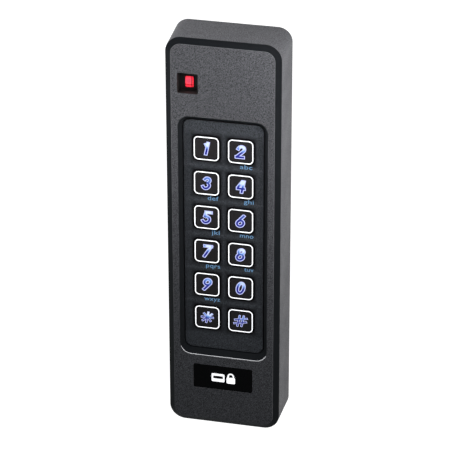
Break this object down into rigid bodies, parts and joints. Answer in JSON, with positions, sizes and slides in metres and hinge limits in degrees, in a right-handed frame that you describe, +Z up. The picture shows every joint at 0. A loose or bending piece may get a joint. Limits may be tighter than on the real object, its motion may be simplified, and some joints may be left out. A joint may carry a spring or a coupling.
{
  "type": "keypad access reader",
  "caption": "Slim wall-mounted keypad access reader: bevelled housing, backlit square keys in a recessed panel, a square status light and a screw-on base plate.",
  "frame": {"origin": "middle of the base plate's back face, in the plane of the wall", "axes": "+X to the right as the keys are read, +Z up along the reader, +Y into the wall; the keys face -Y"},
  "size_m": [0.0448, 0.0189, 0.1644],
  "materials": {
    "cover": "finely textured charcoal, glossy black on the front bevel",
    "panel": "fine matte texture",
    "key_rim": "translucent white, lit from behind",
    "key_cap": "smooth satin",
    "lens": "clear red, lit",
    "shield": "matte black",
    "plate": "polished black",
    "base": "moulded, lightly textured",
    "seal": "soft matte",
    "silicone": "translucent silicone",
    "board": "green solder mask",
    "chip": "moulded black",
    "white_part": "natural nylon",
    "winding": "enamelled copper wire",
    "can": "drawn can",
    "screw": "zinc plated steel"
  },
  "bodies": {
    "housing": {"front_cover": "cover", "keypad_panel": "panel", "dome_mat": "silicone", "main_board": "board", "light_shield": "shield", "status_lens": "lens", "status_led": "white_part", "name_plate": "plate", "antenna_former": "white_part", "antenna_winding": "winding", "controller_chip": "chip", "radio_chip": "chip", "crystal": "can", "voltage_regulator": "chip", "tamper_sensor": "chip", "wire_connector": "white_part", "supply_capacitor": "can", "filter_capacitor": "can", "buzzer": "chip", "cover_seal": "seal", "base_plate": "base", "cable_grommet": "seal", "cover_screw": "screw", "backlight_led_1": "white_part", "backlight_led_2": "white_part", "backlight_led_3": "white_part", "backlight_led_4": "white_part", "backlight_led_5": "white_part", "backlight_led_6": "white_part", "board_screw_1": "screw", "board_screw_2": "screw", "board_screw_3": "screw", "board_screw_4": "screw"},
    "key_1": {"key_1_button": "key_rim", "key_1_cap": "key_cap"},
    "key_2": {"key_2_button": "key_rim", "key_2_cap": "key_cap"},
    "key_3": {"key_3_button": "key_rim", "key_3_cap": "key_cap"},
    "key_4": {"key_4_button": "key_rim", "key_4_cap": "key_cap"},
    "key_5": {"key_5_button": "key_rim", "key_5_cap": "key_cap"},
    "key_6": {"key_6_button": "key_rim", "key_6_cap": "key_cap"},
    "key_7": {"key_7_button": "key_rim", "key_7_cap": "key_cap"},
    "key_8": {"key_8_button": "key_rim", "key_8_cap": "key_cap"},
    "key_9": {"key_9_button": "key_rim", "key_9_cap": "key_cap"},
    "key_0": {"key_0_button": "key_rim", "key_0_cap": "key_cap"},
    "key_star": {"key_star_button": "key_rim", "key_star_cap": "key_cap"},
    "key_hash": {"key_hash_button": "key_rim", "key_hash_cap": "key_cap"}
  },
  "joints": [
    {"name": "key_1_press", "type": "slide", "parent": "housing", "child": "key_1", "axis": [0, 1, 0], "range_m": [0, 0.001], "stiffness_N_per_m": 1200, "springref_m": -0.0003, "deforming": ["dome_mat"]},
    {"name": "key_2_press", "type": "slide", "parent": "housing", "child": "key_2", "axis": [0, 1, 0], "range_m": [0, 0.001], "stiffness_N_per_m": 1200, "springref_m": -0.0003, "deforming": ["dome_mat"]},
    {"name": "key_3_press", "type": "slide", "parent": "housing", "child": "key_3", "axis": [0, 1, 0], "range_m": [0, 0.001], "stiffness_N_per_m": 1200, "springref_m": -0.0003, "deforming": ["dome_mat"]},
    {"name": "key_4_press", "type": "slide", "parent": "housing", "child": "key_4", "axis": [0, 1, 0], "range_m": [0, 0.001], "stiffness_N_per_m": 1200, "springref_m": -0.0003, "deforming": ["dome_mat"]},
    {"name": "key_5_press", "type": "slide", "parent": "housing", "child": "key_5", "axis": [0, 1, 0], "range_m": [0, 0.001], "stiffness_N_per_m": 1200, "springref_m": -0.0003, "deforming": ["dome_mat"]},
    {"name": "key_6_press", "type": "slide", "parent": "housing", "child": "key_6", "axis": [0, 1, 0], "range_m": [0, 0.001], "stiffness_N_per_m": 1200, "springref_m": -0.0003, "deforming": ["dome_mat"]},
    {"name": "key_7_press", "type": "slide", "parent": "housing", "child": "key_7", "axis": [0, 1, 0], "range_m": [0, 0.001], "stiffness_N_per_m": 1200, "springref_m": -0.0003, "deforming": ["dome_mat"]},
    {"name": "key_8_press", "type": "slide", "parent": "housing", "child": "key_8", "axis": [0, 1, 0], "range_m": [0, 0.001], "stiffness_N_per_m": 1200, "springref_m": -0.0003, "deforming": ["dome_mat"]},
    {"name": "key_9_press", "type": "slide", "parent": "housing", "child": "key_9", "axis": [0, 1, 0], "range_m": [0, 0.001], "stiffness_N_per_m": 1200, "springref_m": -0.0003, "deforming": ["dome_mat"]},
    {"name": "key_0_press", "type": "slide", "parent": "housing", "child": "key_0", "axis": [0, 1, 0], "range_m": [0, 0.001], "stiffness_N_per_m": 1200, "springref_m": -0.0003, "deforming": ["dome_mat"]},
    {"name": "key_star_press", "type": "slide", "parent": "housing", "child": "key_star", "axis": [0, 1, 0], "range_m": [0, 0.001], "stiffness_N_per_m": 1200, "springref_m": -0.0003, "deforming": ["dome_mat"]},
    {"name": "key_hash_press", "type": "slide", "parent": "housing", "child": "key_hash", "axis": [0, 1, 0], "range_m": [0, 0.001], "stiffness_N_per_m": 1200, "springref_m": -0.0003, "deforming": ["dome_mat"]}
  ]
}
